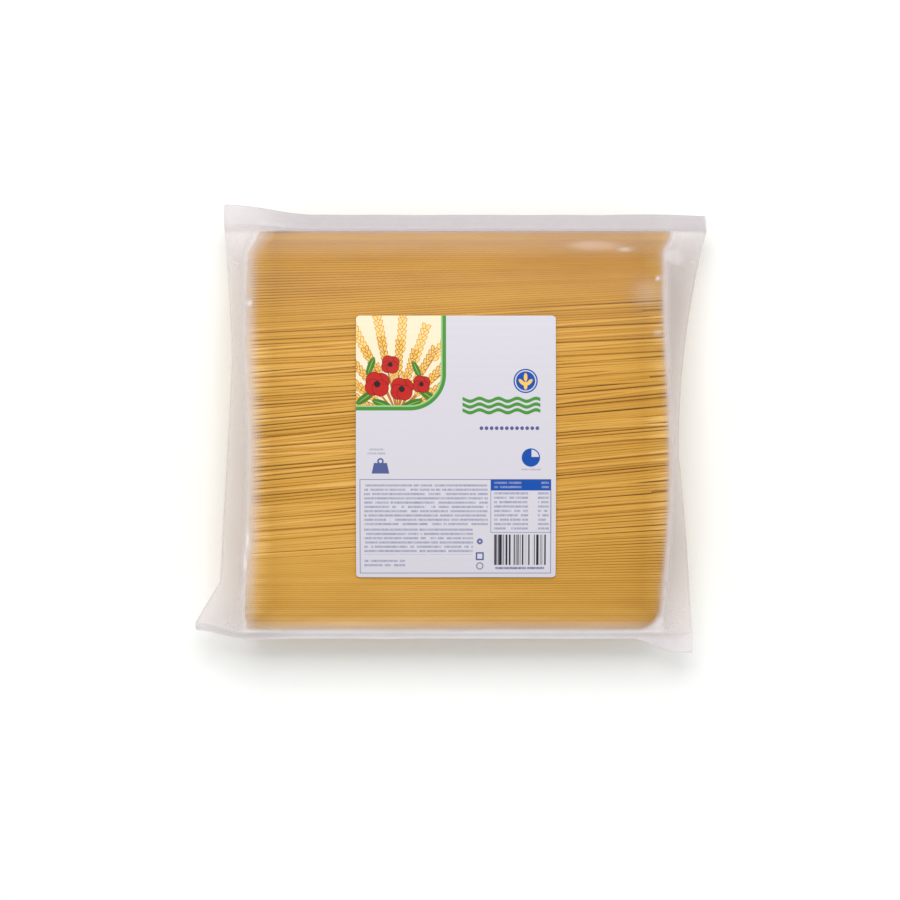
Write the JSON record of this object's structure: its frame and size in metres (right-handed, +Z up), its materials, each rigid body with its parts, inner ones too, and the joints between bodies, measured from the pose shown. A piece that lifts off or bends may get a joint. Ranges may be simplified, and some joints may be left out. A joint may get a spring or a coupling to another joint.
{
  "type": "pasta packet",
  "caption": "Clear film pillow bag filled with straight pasta strands, with end seals, corner ears and a plain printed label, lying on its back.",
  "frame": {"origin": "centre of the bounding box at the underside", "axes": "+X along the strands, +Y towards the top seal, +Z up out of the label"},
  "size_m": [0.3204, 0.281, 0.0745],
  "materials": {
    "bag": "clear film over pasta",
    "label": "smooth print"
  },
  "bodies": {
    "root": {"bag": "bag", "label": "label"}
  },
  "joints": []
}
